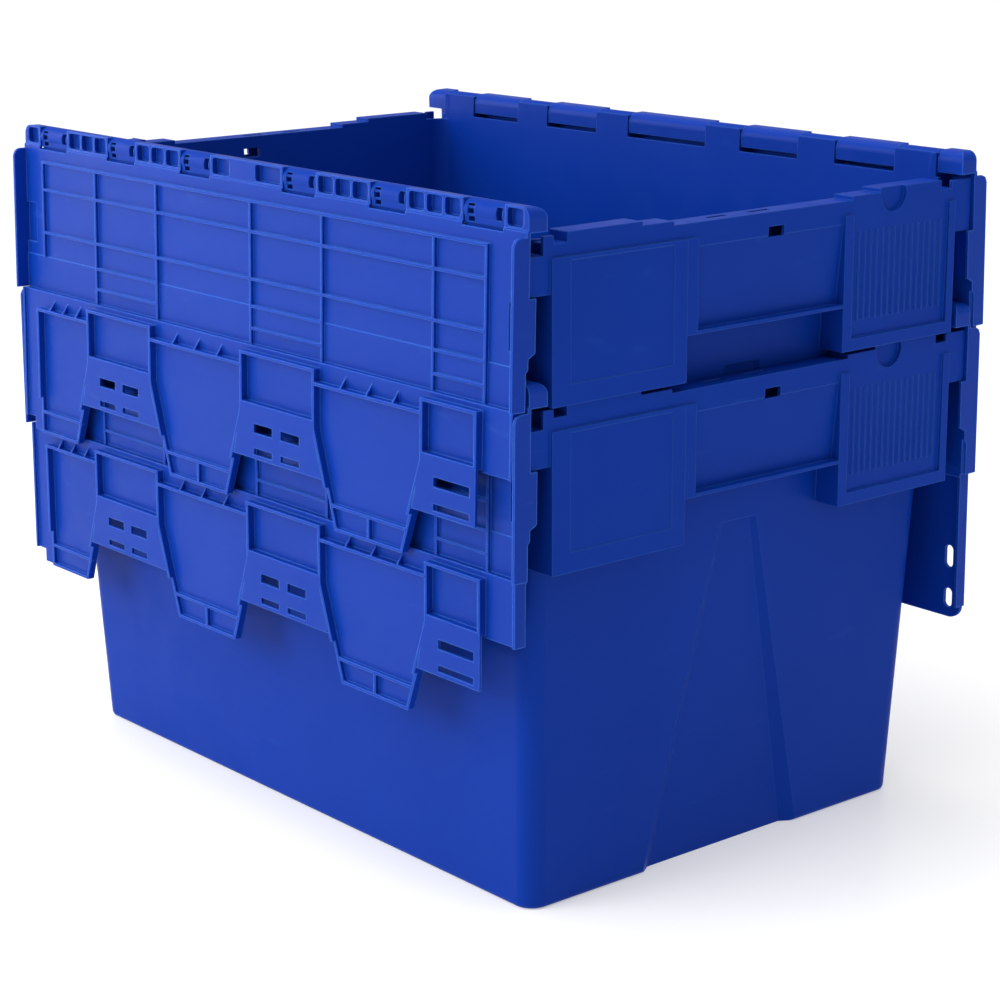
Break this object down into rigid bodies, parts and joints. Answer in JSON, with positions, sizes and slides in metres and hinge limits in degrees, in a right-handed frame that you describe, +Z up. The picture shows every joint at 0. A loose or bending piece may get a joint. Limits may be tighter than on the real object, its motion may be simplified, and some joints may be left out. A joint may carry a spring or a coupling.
{
  "type": "attached lid crate pair",
  "caption": "Nested rectangular plastic crates with interlocking hinged lid halves hanging open at both long sides.",
  "frame": {"origin": "middle of the base of the lower crate, on the floor", "axes": "+Z up; X along the 600 mm side; the front lids hang on the -Y side and the back lids on the +Y side"},
  "size_m": [0.6, 0.4486, 0.4787],
  "materials": {
    "tub_plastic": "deep blue injection-moulded polypropylene, fine satin texture",
    "lid_plastic": "royal blue injection-moulded polypropylene, satin",
    "rod_steel": "drawn bright steel wire"
  },
  "bodies": {
    "lower_crate": {"lower_tub": "tub_plastic", "lower_front_hinge_rod": "rod_steel", "lower_back_hinge_rod": "rod_steel"},
    "lower_front_lid": {"lower_front_lid": "lid_plastic"},
    "lower_back_lid": {"lower_back_lid": "lid_plastic"},
    "upper_crate": {"upper_tub": "tub_plastic", "upper_front_hinge_rod": "rod_steel", "upper_back_hinge_rod": "rod_steel"},
    "upper_front_lid": {"upper_front_lid": "lid_plastic"},
    "upper_back_lid": {"upper_back_lid": "lid_plastic"}
  },
  "joints": [
    {"name": "upper_crate_lift", "type": "slide", "parent": "lower_crate", "child": "upper_crate", "axis": [0, 0, 1], "range_m": [0, 0.3]},
    {"name": "upper_front_hinge", "type": "hinge", "parent": "upper_crate", "child": "upper_front_lid", "pos_m": [0, -0.2, 0.471], "axis": [-1, 0, 0], "range_deg": [0, 268.5]},
    {"name": "upper_back_hinge", "type": "hinge", "parent": "upper_crate", "child": "upper_back_lid", "pos_m": [0, 0.2, 0.471], "axis": [1, 0, 0], "range_deg": [0, 268.5]},
    {"name": "lower_front_hinge", "type": "hinge", "parent": "lower_crate", "child": "lower_front_lid", "pos_m": [0, -0.2, 0.362], "axis": [-1, 0, 0], "range_deg": [0, 89.5]},
    {"name": "lower_back_hinge", "type": "hinge", "parent": "lower_crate", "child": "lower_back_lid", "pos_m": [0, 0.2, 0.362], "axis": [1, 0, 0], "range_deg": [0, 89.5]}
  ],
  "couplings": [
    {"joint": "lower_front_hinge", "follows": "upper_front_hinge", "ratio": 0.33333},
    {"joint": "lower_back_hinge", "follows": "upper_back_hinge", "ratio": 0.33333}
  ]
}
